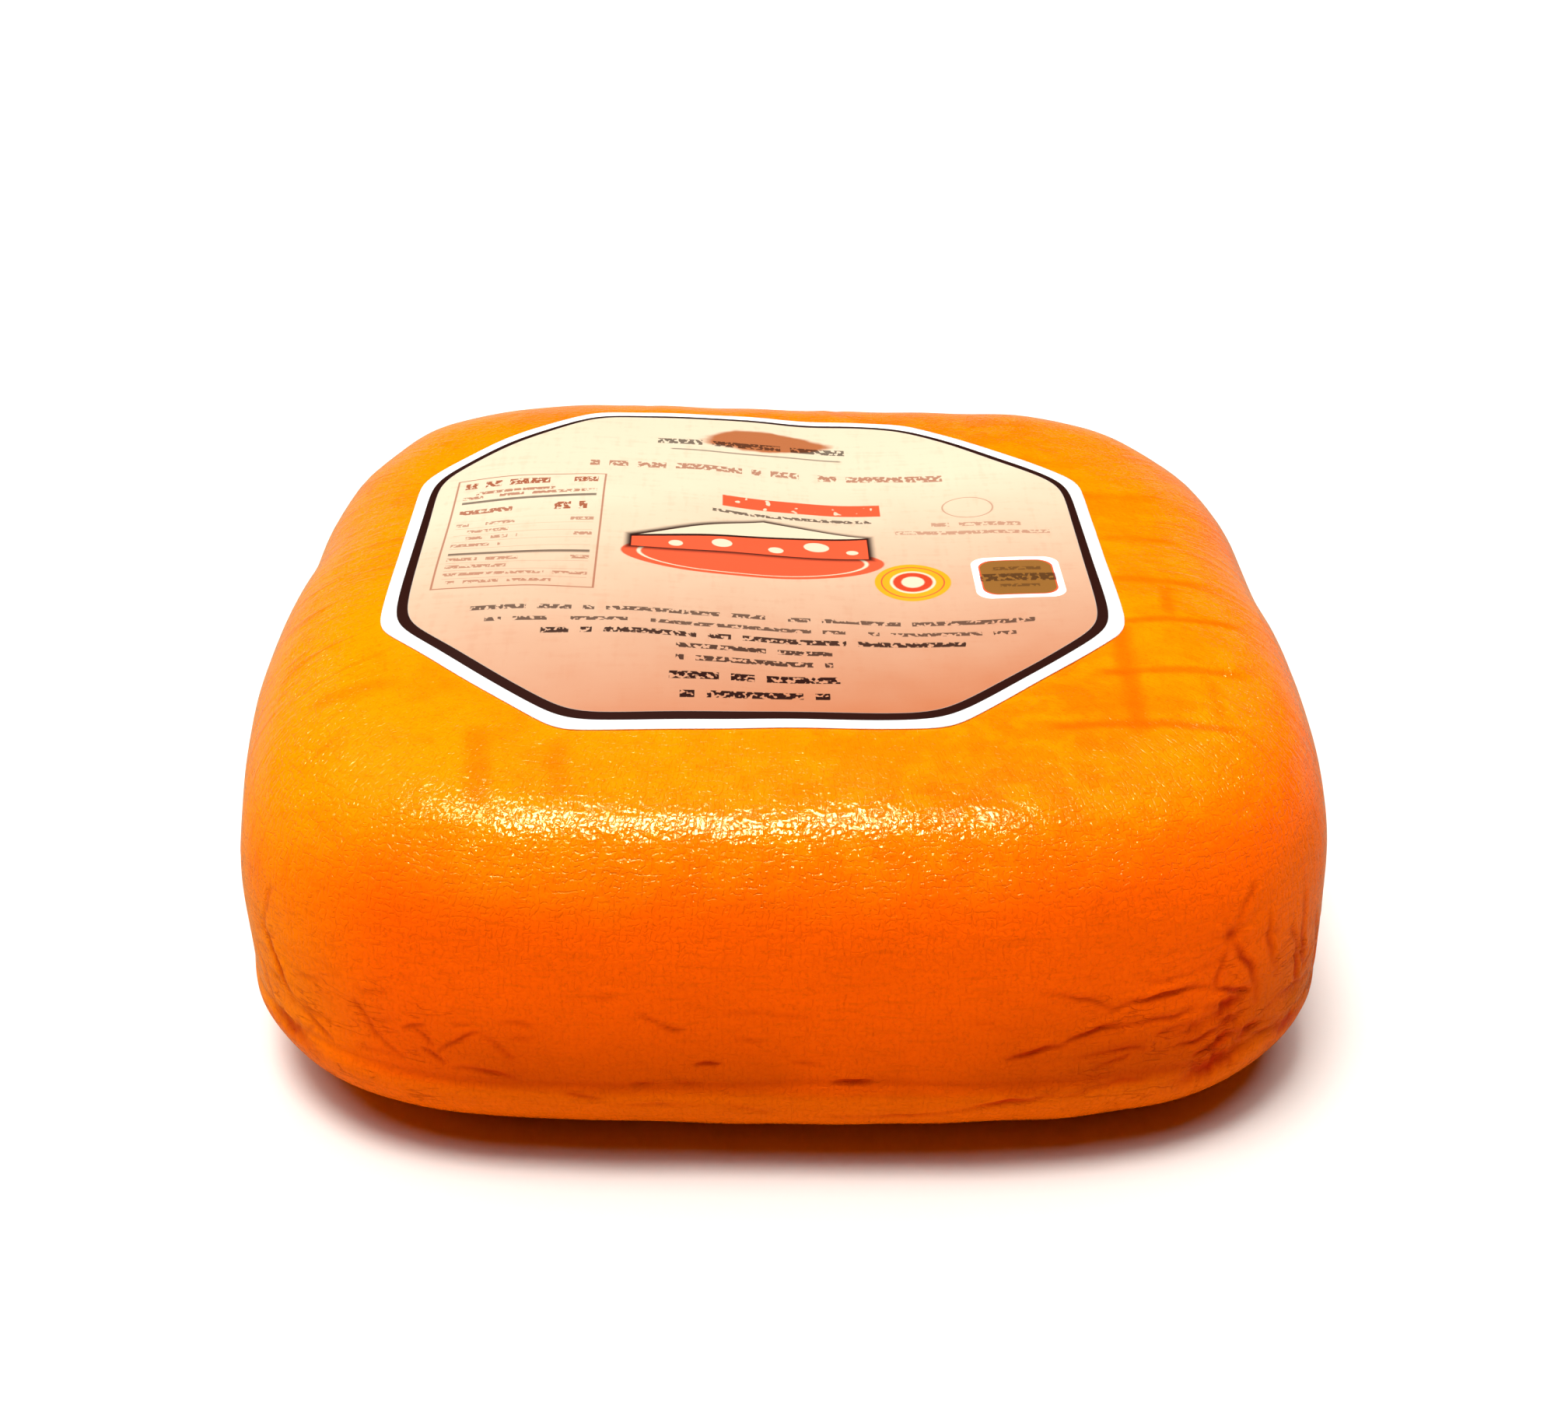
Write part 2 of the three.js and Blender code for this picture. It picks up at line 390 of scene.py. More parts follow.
def side_relief(points, across, outline):
    """The side beyond its swell: creases, dents, a pinch with folds, pimples and the ledge.

    Gives the relief along the normal, the share by which a point lies in a groove, and how wrinkled
    its region is.
    """
    up = points[..., 2]
    across = np.broadcast_to(across, up.shape)
    relief = np.zeros(up.shape)
    groove = np.zeros(up.shape)
    random = np.random.default_rng(SEED + 2)
    listed = list(CREASES) + small_creases(random, outline)
    for number, (start, end, bow, depth, half_width) in enumerate(listed):
        reach = max(abs(end[0] - start[0]), abs(end[1] - start[1])) / 2 + 8
        middle = ((start[0] + end[0]) / 2, (start[1] + end[1]) / 2)
        nearest = (across - middle[0] + outline / 2) % outline - outline / 2
        near = (np.abs(nearest) < reach) & (np.abs(up - middle[1]) < reach)
        along = middle[0] + nearest[near]
        moved, inside = crease(along, up[near], start, end, bow, depth, half_width, number)
        relief[near] += moved
        groove[near] = np.maximum(groove[near], inside * min(1, depth * 1.3))
    for at, high, half_length, half_height, tilt, depth in DENTS:
        turn = math.radians(tilt)
        level = (across - at) * math.cos(turn) + (up - high) * math.sin(turn)
        steep = (up - high) * math.cos(turn) - (across - at) * math.sin(turn)
        ragged = 0.35 * np.sin(level * 1.3 + at) + 0.25 * np.sin(level * 2.9 + high)
        hollow = bell(level, half_length) * bell(steep - ragged, half_height)
        brow = bell(level, half_length) * bell(steep - ragged - 2 * half_height, half_height)
        relief += depth * (0.45 * brow - hollow)
        groove = np.maximum(groove, hollow * min(1, depth))
    for at, high, half_length, half_height, rise in SWELLS:
        relief += rise * bell(across - at, half_length) * bell(up - high, half_height)
    pinch_across, pinch_up = across - PINCH[0], up - PINCH[1]
    pinch_reach = np.hypot(pinch_across, pinch_up)
    folds = np.cos(7 * np.arctan2(pinch_up, pinch_across) + 0.6) * soft_step(pinch_reach, 0.5, 3)
    relief += 0.3 * folds * bell(pinch_reach, 7) - 0.9 * bell(pinch_reach, 1.5)
    groove = np.maximum(groove, 0.8 * bell(pinch_reach, 1.3))
    for at, high, half_width, rise in PIMPLES:
        relief += rise * bell(np.hypot(across - at, up - high), half_width)
    ledge = up - LEDGE_UP - 0.5 * np.sin(across / 19 + 0.7) - 0.25 * np.sin(across / 7.3)
    relief += 0.45 * bell(ledge + 3.0, 2.4) - 0.4 * bell(ledge, 0.9)
    groove = np.maximum(groove, 0.2 * bell(ledge, 0.9))
    corner = np.abs((across / outline * 4) % 1 - 0.5)
    wrinkled = (1 - soft_step(corner, 0.1, 0.36)) * soft_step(up, 6, 14)
    wrinkled *= 1 - soft_step(up, 34, 50)
    return relief, groove, wrinkled


def cloth_relief(points):
    """Soft grooves along straight lines in plan, each a bell of the distance from its line."""
    relief = np.zeros(points.shape[:-1])
    upper = soft_step(points[..., 2], 60, 67)
    x, y = points[..., 0], points[..., 1]
    for seed, (start, end, depth, half_width) in enumerate(CLOTH_LINES, CLOTH_SEED):
        moved, _ = crease(x, y, start, end, 0, depth, half_width, seed)
        relief += upper * moved
    return relief


# --------------------------------------------------------------------------------------------------
# Meshes


def spaced(values, places, density, count, closed):
    """Picks values so that their places are closest together where the density is highest."""
    steps = np.linalg.norm(np.diff(places, axis=0), axis=1) * (density[1:] + density[:-1]) / 2
    run = np.concatenate([[0], np.cumsum(steps)])
    return np.interp(np.linspace(0, run[-1], count, endpoint=not closed), run, values)


def grid_faces(rows, columns):
    """Corner numbers of the four-sided faces between the points of a grid that closes sideways."""
    start = np.arange(rows - 1)[:, None] * columns
    column = np.arange(columns)[None, :]
    beside = (column + 1) % columns
    corners = [start + column, start + beside, start + columns + beside, start + columns + column]
    return np.stack(np.broadcast_arrays(*corners), axis=-1).reshape(-1, 4)


def fan_faces(ring, pole, outward):
    """Corner numbers of the three-sided faces that close a ring of points to one pole."""
    beside = np.roll(ring, -1)
    poles = np.full_like(ring, pole)
    order = [ring, beside, poles] if outward else [beside, ring, poles]
    return np.stack(order, axis=-1)


def mesh_object(name, points, faces, material):
    """A smooth mesh object at the origin, from points in millimetres."""
    mesh = bpy.data.meshes.new(name)
    corners = [face for group in faces for face in group.tolist()]
    mesh.from_pydata((points * MM).tolist(), [], corners)
    mesh.shade_smooth()
    mesh.materials.append(material)
    mesh.validate()
    piece = bpy.data.objects.new(name, mesh)
    bpy.context.scene.collection.objects.link(piece)
    return piece


def set_attribute(piece, name, values):
    """Stores one number for each vertex."""
    attribute = piece.data.attributes.new(name, "FLOAT", "POINT")
    attribute.data.foreach_set("value", np.asarray(values, dtype=np.float32))


def set_uv(piece, name, pairs, turns=0):
    """Stores a UV pair for each vertex, given to each corner that uses it.

    On a piece that closes on itself, a face across the seam gets its first column's corners some
    turns further on.
    """
    layer = piece.data.uv_layers.new(name=name)
    corner = np.empty(len(piece.data.loops), dtype=np.int32)
    piece.data.loops.foreach_get("vertex_index", corner)
    start = np.empty(len(piece.data.polygons), dtype=np.int32)
    piece.data.polygons.foreach_get("loop_start", start)
    given = pairs[corner]
    face = np.repeat(np.arange(len(start)), np.diff(np.append(start, len(corner))))
    furthest = np.maximum.reduceat(given[:, 0], start)[face]
    given[:, 0] += turns * (furthest - given[:, 0] > 0.5)
    layer.data.foreach_set("uv", given.astype(np.float32).ravel())


def rind_mesh(settings):
    """The rind: the plain cheese on a grid of plan and profile angles, moved out by the relief."""
    half = settings.side / 2 / MM
    height = settings.height / MM

    # Columns: evenly along the outline, and closer at the front's two corners. The first is behind.
    angle = np.linspace(-1.5 * np.pi, 0.5 * np.pi, FINE_STEPS)
    outline_points = plain_cheese(angle, np.zeros(1), half, height)
    run = np.concatenate([[0], np.cumsum(np.linalg.norm(np.diff(outline_points, axis=0), axis=1))])
    outline = run[-1]
    across = run - outline / 2
    density = 0.7 + 1.6 * bell(across - 72, 34) + 1.2 * bell(across + 72, 32)
    density += 0.4 * bell(across, 90)
    angle = spaced(angle, outline_points, density, COLUMNS, closed=True)
    across = np.interp(angle, np.linspace(-1.5 * np.pi, 0.5 * np.pi, FINE_STEPS), across)

    # Rows: from base to top, close on the side, and far apart underneath and under the label
    lift = np.linspace(-0.5 * np.pi, 0.5 * np.pi, FINE_STEPS)
    profile = plain_cheese(np.full(1, -0.5 * np.pi), lift, half, height)
    out = -profile[:, 1] / half
    up = profile[:, 2]
    on_side = soft_step(up, 5, 9) * (1 - soft_step(up, 48, 56))
    density = 0.12 + 0.4 * soft_step(out, 0.6, 0.7) + 1.5 * on_side
    run = np.concatenate([[0], np.cumsum(np.linalg.norm(np.diff(profile, axis=0), axis=1))])
    rows = spaced(lift, profile, density, ROWS + 2, closed=False)[1:-1]
    over = np.interp(rows, lift, run)

    base = plain_cheese(angle[None, :], rows[:, None], half, height)
    sideways = np.roll(base, -1, axis=1) - np.roll(base, 1, axis=1)
    upwards = np.gradient(base, axis=0)
    normal = np.cross(sideways, upwards)
    normal /= np.linalg.norm(normal, axis=-1, keepdims=True)

    side, groove, wrinkled = side_relief(base, across[None, :], outline)
    cloth = cloth_relief(base)
    on_side = soft_step(base[..., 2], 1, 7) * (1 - soft_step(base[..., 2], 64, 69))
    off_floor = soft_step(base[..., 2], 0.2, 6)
    relief = swell_of_rind(base) * off_floor + side * on_side * settings.creasing + cloth
    points = base + normal * relief[..., None]
    points[..., 2] = np.maximum(points[..., 2], 0)

    bottom = np.array([[0, 0, 0]])
    crown = np.array([[0, 0, height + top_lumps(0, 0)]])
    crown[0, 2] += swell_of_rind(crown)[0]
    every_point = np.concatenate([points.reshape(-1, 3), bottom, crown])
    ring = np.arange(COLUMNS)
    faces = [
        grid_faces(ROWS, COLUMNS),
        fan_faces(ring, ROWS * COLUMNS, outward=False),
        fan_faces(ring + (ROWS - 1) * COLUMNS, ROWS * COLUMNS + 1, outward=True),
    ]
    threads = round(outline / settings.thread_pitch * MM)
    rind = mesh_object("rind", every_point, faces, rind_material(settings, threads))
    set_attribute(rind, "groove", np.concatenate([(groove * on_side).ravel(), [0, 0]]))
    set_attribute(rind, "wrinkled", np.concatenate([(wrinkled * on_side).ravel(), [0, 0]]))
    share = across[None, :] / outline + 0.5
    wrap = np.stack(np.broadcast_arrays(share, over[:, None] / outline), axis=-1)
    set_uv(rind, "wrap", np.concatenate([wrap.reshape(-1, 2), np.zeros((2, 2))]), turns=1)
    return rind


def label_outline(angle, across, inset, power):
    """Distance from the label's middle to its edge, less an inset, in a direction.

    It is a soft least distance to the eight sides: the cosine of the angle to each side's facing
    over that side's distance, to the power, added up, and taken to minus one over the power.
    """
    straight = across / 2
    slanted = (straight + across * LABEL_SIDE_SHARE / 2) / math.sqrt(2)
    facing = np.maximum(np.cos(angle[:, None] - np.arange(8) * np.pi / 4), 0)
    distance = np.where(np.arange(8) % 2, slanted, straight) - inset
    return ((facing / distance) ** power).sum(axis=1) ** (-1 / power)


def label_mesh(settings, rind_settings):
    """The label: rings of its outline, laid over the top, with an edge and an underside."""
    half = rind_settings.side / 2 / MM
    height = rind_settings.height / MM
    across = settings.across / MM
    border = settings.border / MM
    line = settings.line / MM
    thickness = settings.thickness / MM
    angle = np.linspace(0, 2 * np.pi, LABEL_COLUMNS, endpoint=False)
    inner = np.linspace(6, across / 2 - 1.5, LABEL_RINGS)
    insets = np.concatenate([[0, border * 0.5, border, border + line], inner])
    softness = np.where(insets < border * 0.7, CUT_CORNER_POWER, PRINT_CORNER_POWER)
    pairs = zip(insets, softness)
    reach = np.stack([label_outline(angle, across, inset, power) for inset, power in pairs])
    flat_x = reach * np.cos(angle)
    flat_y = reach * np.sin(angle)
    x = LABEL_X + flat_x * math.cos(LABEL_TURN) - flat_y * math.sin(LABEL_TURN)
    y = LABEL_Y + flat_x * math.sin(LABEL_TURN) + flat_y * math.cos(LABEL_TURN)

    def laid(at_x, at_y, above):
        """The points of the top over a plan, raised by a little."""
        on_top = np.stack([at_x, at_y, top_height(at_x, at_y, half, height)], axis=-1)
        on_top[..., 2] += swell_of_rind(on_top) + cloth_relief(on_top) + above
        return on_top

    upper = laid(x, y, settings.raised / MM + thickness)
    under = laid(x, y, settings.raised / MM)[::-1]
    middle_x, middle_y = np.array([LABEL_X]), np.array([LABEL_Y])
    middles = np.concatenate([
        laid(middle_x, middle_y, settings.raised / MM + thickness),
        laid(middle_x, middle_y, settings.raised / MM),
    ])
    rows = np.concatenate([under, upper])
    every_point = np.concatenate([rows.reshape(-1, 3), middles])
    ring = np.arange(LABEL_COLUMNS)
    count = len(rows) * LABEL_COLUMNS
    faces = [
        grid_faces(len(rows), LABEL_COLUMNS),
        fan_faces(ring, count + 1, outward=False),
        fan_faces(ring + count - LABEL_COLUMNS, count, outward=True),
    ]
    label = mesh_object("label_paper", every_point, faces, label_material(settings))
    ring_inset = np.repeat(insets[:, None], LABEL_COLUMNS, axis=1)
    inset = np.concatenate([ring_inset[::-1].ravel(), ring_inset.ravel(), [across / 2, across / 2]])
    set_attribute(label, "inset", inset)
    flat = np.stack([flat_x, flat_y], axis=-1)
    pairs = np.concatenate([flat[::-1].reshape(-1, 2), flat.reshape(-1, 2), np.zeros((2, 2))])
    set_uv(label, "flat", pairs / across + 0.5)
    return label


# --------------------------------------------------------------------------------------------------
# Materials


class Signal:
    """One output of a material's nodes. Python's operators on it add Math nodes."""

    def __init__(self, shader, node, output):
        self.shader = shader
        self.node = node
        self.socket = node.outputs[output]

    def maths(self, operation, *values):
        return self.shader.node("ShaderNodeMath", {"operation": operation}, dict(enumerate(values)))

    def __add__(self, other):
        return self.maths("ADD", self, other)

    def __sub__(self, other):
        return self.maths("SUBTRACT", self, other)

    def __rsub__(self, other):
        return self.maths("SUBTRACT", other, self)

    def __mul__(self, other):
        return self.maths("MULTIPLY", self, other)

    def __truediv__(self, other):
        return self.maths("DIVIDE", self, other)

    def __pow__(self, other):
        return self.maths("POWER", self, other)

    def __abs__(self):
        return self.maths("ABSOLUTE", self)

    __radd__ = __add__
    __rmul__ = __mul__

    def least(self, other):
        return self.maths("MINIMUM", self, other)

    def most(self, other):
        return self.maths("MAXIMUM", self, other)

    def floor(self):
        return self.maths("FLOOR", self)

    def fraction(self):
        return self.maths("FRACT", self)

    def step(self, low, high):
        """0 below low and 1 above high, smooth between. A low above the high turns it round."""
        sockets = {"Value": self, "From Min": low, "From Max": high}
        return self.shader.node("ShaderNodeMapRange", {"interpolation_type": "SMOOTHSTEP"}, sockets)

    def between(self, low, high, soft):
        """1 from low to high, with soft ends."""
        return self.step(low - soft, low + soft) * self.step(high + soft, high - soft)


class Shader:
    """A material while its nodes are written."""

    def __init__(self, name):
        self.material = bpy.data.materials.new(name)
        self.material.use_nodes = True
        self.tree = self.material.node_tree
        self.tree.nodes.clear()

    def node(self, kind, settings=None, sockets=None, output=0):
        """Adds a node by its type, settings and its sockets' values or links. Gives one output."""
        node = self.tree.nodes.new(kind)
        for key, value in (settings or {}).items():
            setattr(node, key, value)
        for key, value in (sockets or {}).items():
            if isinstance(value, Signal):
                self.tree.links.new(value.socket, node.inputs[key])
            else:
                node.inputs[key].default_value = value
        return Signal(self, node, output)

    def mix(self, share, first, second):
        """A colour that goes from the first to the second."""
        return self.node("ShaderNodeMix", {"data_type": "RGBA"}, {0: share, 6: first, 7: second}, 2)

    def split(self, vector):
        """The three numbers of a vector."""
        parts = self.node("ShaderNodeSeparateXYZ", None, {0: vector})
        return [Signal(self, parts.node, axis) for axis in range(3)]

    def scaled(self, vector, factors):
        """A vector with each number multiplied."""
        return self.node("ShaderNodeVectorMath", {"operation": "MULTIPLY"}, {0: vector, 1: factors})

    def noise(self, place, size, detail=2.0, roughness=0.5):
        """Soft random clouds about `size` across, from 0 to 1."""
        return self.node(
            "ShaderNodeTexNoise",
            {"noise_dimensions": "3D"},
            {"Vector": place, "Scale": 1 / size, "Detail": detail, "Roughness": roughness},
        )

    def wander(self, place, size, amount):
        """A vector that wanders by up to about the amount."""
        sockets = {"Vector": place, "Scale": 1 / size, "Detail": 1.0}
        clouds = self.node("ShaderNodeTexNoise", None, sockets, "Color")
        return self.scaled(self.shifted(clouds, (-0.5, -0.5, -0.5)), (amount, amount, amount))

    def shifted(self, vector, shift):
        """The sum of two vectors."""
        return self.node("ShaderNodeVectorMath", {"operation": "ADD"}, {0: vector, 1: shift})

    def cells(self, place, size):
        """Distance from the nearest of random points about `size` apart, as a share of the size."""
        sockets = {"Vector": place, "Scale": 1 / size}
        return self.node("ShaderNodeTexVoronoi", {"feature": "F1"}, sockets)

    def attribute(self, name):
        """A number that the mesh stores."""
        return self.node("ShaderNodeAttribute", {"attribute_name": name}, None, "Fac")

    def surface(self, sockets, relief):
        """A Principled shader with a relief in millimetres as its bump."""
        bump = {"Strength": 1.0, "Distance": MM, "Height": relief}
        normal = self.node("ShaderNodeBump", None, bump)
        return self.node("ShaderNodeBsdfPrincipled", None, {**sockets, "Normal": normal})

    def blend(self, share, first, second):
        """A surface that goes from the first shader to the second."""
        return self.node("ShaderNodeMixShader", None, {0: share, 1: first, 2: second})

    def finish(self, surface):
        """Feeds a surface to the material's output."""
        output = self.tree.nodes.new("ShaderNodeOutputMaterial")
        self.tree.links.new(surface.socket, output.inputs["Surface"])
        return self.material


def opaque(colour):
    """A colour property as the four numbers of a colour socket."""
    return (*colour, 1.0)


def rind_material(settings, threads):
    """Coated rind: yellower on top, redder on the side, clouded, painted shade in its creases and
    cloth lines, low down and on the right, painted light on heel and far left, with the cloth's
    fine print."""
    shader = Shader("waxed_rind")
    coordinates = shader.node("ShaderNodeTexCoord", None, None, "Object")
    place = shader.scaled(coordinates, (1 / MM, 1 / MM, 1 / MM))
    x, y, z = shader.split(place)
    wrap = shader.scaled(shader.node("ShaderNodeUVMap", {"uv_map": "wrap"}), (threads, threads, 1))
    around, over, _ = shader.split(wrap)
    groove = shader.attribute("groove")
    wrinkled = shader.attribute("wrinkled")
    level = shader.scaled(place, (0.35, 0.35, 1))

    # Colour
    clouds = shader.noise(place, 34, 3)
    streaks = shader.noise(level, 7, 3, 0.6)
    mottle = shader.noise(place, 3.2, 3, 0.6)
    height = z + (clouds - 0.5) * 16 - x * 0.03
    on_top = height.step(50, 71)
    leftward = (x + (clouds - 0.5) * 60).step(60, -90)
    top = shader.mix(leftward, opaque(settings.top_colour), opaque(settings.pale_colour))
    colour = shader.mix(on_top, opaque(settings.flank_colour), top)
    # Painted light: paler towards the far left of the side, where more light falls
    colour = shader.mix((x * -1).step(62, 97) * 0.9, colour, opaque(settings.pale_colour))
    # Painted shade: darker colour low on the side, fading out towards the far left
    low = height.step(40, 16) * (x * -1).step(82, 36)
    colour = shader.mix(low * 0.75, colour, opaque(settings.lower_shade_and_grain_colour))
    # Painted shade: browner on the right end of the side, below the shoulder, where less light
    # falls
    shaded = x.step(70, 98) * z.step(66, 50)
    colour = shader.mix(shaded * 0.45, colour, opaque(settings.shade_colour))
    patches = shader.noise(place, 5.5, 2).step(0.45, 0.62) * on_top
    colour = shader.mix(patches * 0.55, colour, opaque(settings.pale_colour))
    rightward = x.step(48, 64) * z.step(60, 69)
    colour = shader.mix(rightward * 0.4, colour, opaque(settings.pale_colour))
    pressed_x, pressed_y, _ = shader.split(shader.shifted(place, shader.wander(place, 9, 1.6)))
    # Painted shade: darker, redder colour along the pressed cloth lines, more where they are deeper
    for start, end, depth, half_width in CLOTH_LINES:
        mark = drawn_line(pressed_x, pressed_y, start, end, half_width) * on_top
        colour = shader.mix(mark * (depth * 2.4), colour, opaque(settings.warm_and_shade_colour))
    colour = shader.mix(clouds.step(0.52, 0.72) * 0.35, colour, opaque(settings.warm_and_shade_colour))
    colour = shader.mix(streaks.step(0.5, 0.78) * 0.2, colour, opaque(settings.warm_and_shade_colour))
    mottled = mottle.step(0.55, 0.8) * on_top
    colour = shader.mix(mottled * 0.18, colour, opaque(settings.warm_and_shade_colour))
    # Painted light: lighter colour under the ledge, where the downward-facing heel catches the
    # floor's light
    colour = shader.mix(z.step(19.5, 17) * 0.65, colour, opaque(settings.heel_floor_light_colour))
    # Painted shade: the crease colour darkens thin cracks in the wrinkled regions
    thin = shader.noise(shader.scaled(place, (0.22, 0.22, 1)), 1.5, 2)
    torn = shader.noise(place, 6, 1).step(0.48, 0.64) * wrinkled
    cracked = abs(thin - 0.5).step(0.03, 0.0) * torn
    colour = shader.mix(cracked * 0.35, colour, opaque(settings.crease_shade_colour))
    # Painted shade: the crease colour darkens the grooves of the creases, dents, pinch and ledge
    colour = shader.mix(groove.least(1.0), colour, opaque(settings.crease_shade_colour))
    over_shoulder = abs(x).step(64, 82) * abs(y).step(96, 70) * z.step(36, 50)
    ripples = shader.noise(shader.scaled(wrap, (0.4, 0.05, 1)), 1.0, 2)
    rippled = ripples.step(0.54, 0.7) * over_shoulder
    colour = shader.mix(rippled * 0.4, colour, opaque(settings.warm_and_shade_colour))
    brushed = shader.noise(shader.scaled(place, (0.16, 0.16, 1)), 1.3, 3, 0.6)
    colour = shader.mix(brushed.step(0.5, 0.8) * 0.2, colour, opaque(settings.lower_shade_and_grain_colour))
    grain = shader.noise(place, 0.8, 2, 0.7)
    colour = shader.mix(grain.step(0.5, 0.75) * 0.22, colour, opaque(settings.lower_shade_and_grain_colour))
    specks = shader.cells(place, 17).step(0.022, 0.014)
    colour = shader.mix(specks * 0.7, colour, opaque(settings.speck_colour))

    # Relief in millimetres: the cloth's threads both ways, a fine tooth, and two shoulders' ripples
    level_thread = (over + shader.noise(place, 2.2, 2) * 2.6).fraction()
    along_thread = abs(level_thread - 0.5).step(0.2, 0.03)
    upright_thread = (around + shader.noise(place, 2.7, 2) * 2.2).fraction()
    cross_thread = abs(upright_thread - 0.5).step(0.22, 0.04)
    print_along = along_thread * shader.noise(place, 1.2, 1).step(0.42, 0.56)
    print_across = cross_thread * shader.noise(place, 1.0, 1).step(0.4, 0.54)
    thread_print = print_along.most(print_across) * (1 - z.step(68, 73) * 0.75)
    tooth = shader.noise(place, 1.1, 1, 0.5)
    soft = shader.noise(level, 2.6, 3, 0.55)
    relief = tooth * 0.15 + soft * 0.24 + ripples * over_shoulder * 0.4
    relief = relief - thread_print * 0.09 - cracked * 0.2

    roughness = 0.025 + shader.noise(place, 1.3, 3, 0.6) * 0.07 + wrinkled * 0.08
    looks = {"Base Color": colour, "Roughness": roughness}
    bright = {
        "Specular IOR Level": settings.upper_shine,
        "Specular Tint": opaque(settings.upper_tint),
    }
    dull = {
        "Specular IOR Level": settings.lower_shine,
        "Specular Tint": opaque(settings.lower_tint),
    }
    upper = shader.surface({**looks, **bright}, relief)
    lower = shader.surface({**looks, **dull}, relief)
    return shader.finish(shader.blend(z.step(53, 62), lower, upper))


def drawn_line(x, y, start, end, half_width):
    """1 along a straight line, falling to 0 at twice its half width and past its two ends."""
    run, rise = end[0] - start[0], end[1] - start[1]
    length = math.hypot(run, rise)
    along = x * (run / length) + y * (rise / length) - (start[0] * run + start[1] * rise) / length
    aside = y * (run / length) - x * (rise / length) + (start[0] * rise - start[1] * run) / length
    return abs(aside).step(2 * half_width, 0.2 * half_width) * along.between(2, length - 2, 2.5)


def printed_rows(shader, place, rows, stroke, gap=0.42):
    """The share of ink over rows of made-up print that hold no letters.

    Each row is a band. It is cut into words where a random number for each short run of it is low,
    and broken up by clouds about as large as a stroke.
    """
    x, y, _ = shader.split(place)
    strokes = shader.noise(shader.scaled(place, (1.0, 0.7, 1)), stroke, 1).step(gap, gap + 0.06)
    ink = 0.0
    for middle, left, right, half_height, share in rows:
        number = (x / (stroke * 2.2)).floor()
        run = shader.node("ShaderNodeCombineXYZ", None, {0: number, 1: middle})
        chance = shader.node("ShaderNodeTexWhiteNoise", {"noise_dimensions": "2D"}, {"Vector": run})
        word = chance.step(0.14, 0.15) * y.between(middle - half_height, middle + half_height, 0.12)
        ink = word * x.between(left, right, 0.12) * share + ink
    return strokes * ink


def printed_shape(x, y, corners, soft):
    """1 inside a convex outline with anticlockwise corners, by the least distance to a side."""
    least = None
    for start, end in zip(corners, corners[1:] + corners[:1]):
        run, rise = end[0] - start[0], end[1] - start[1]
        length = math.hypot(run, rise)
        offset = (start[0] * rise - start[1] * run) / length
        inside = y * (run / length) - x * (rise / length) + offset
        least = inside if least is None else least.least(inside)
    return least.step(-soft, soft)


def printed_round(shader, place, middle, radii):
    """Reach from an oval's middle, 1 on its edge: the length of x and y over the radii."""
    centred = shader.shifted(place, (-middle[0], -middle[1], 0))
    shrunk = shader.scaled(centred, (1 / radii[0], 1 / radii[1], 0))
    return shader.node("ShaderNodeVectorMath", {"operation": "LENGTH"}, {0: shrunk}, "Value")


